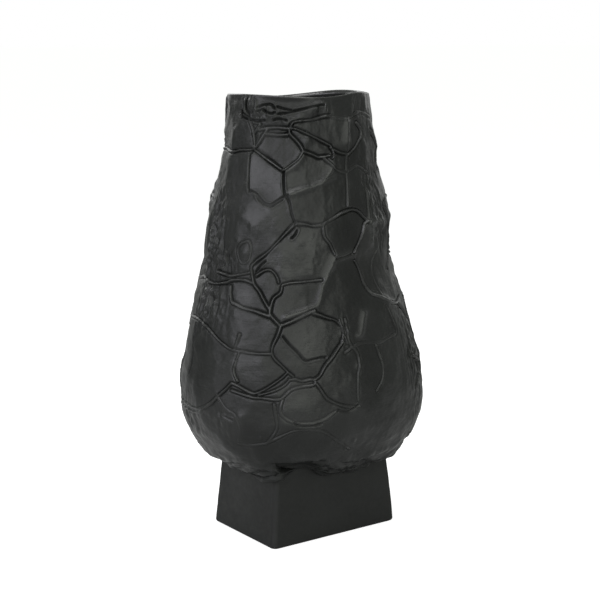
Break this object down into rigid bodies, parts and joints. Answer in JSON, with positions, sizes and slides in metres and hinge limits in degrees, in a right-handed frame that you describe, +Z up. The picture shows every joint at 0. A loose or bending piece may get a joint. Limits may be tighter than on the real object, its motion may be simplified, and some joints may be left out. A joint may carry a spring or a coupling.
{
  "type": "black clay pot",
  "caption": "Tall black clay vase with a full belly, a cell-like net of raised ribs and a plain tapered rectangular foot.",
  "frame": {"origin": "centre of the foot's underside, on the plane that the pot rests on", "axes": "+Z up, +X along the foot's long side, -Y to the front"},
  "size_m": [0.2225, 0.1846, 0.3822],
  "materials": {
    "plain_clay": "smooth matte black clay, rubbed at the edges",
    "ribbed_clay": "satin black clay, burnished on the cells and duller in the grooves"
  },
  "bodies": {
    "root": {"foot": "plain_clay", "foot_deck": "plain_clay", "luting_coil": "ribbed_clay", "belly_bowl": "ribbed_clay", "upper_wall": "ribbed_clay", "collar": "ribbed_clay"}
  },
  "joints": []
}
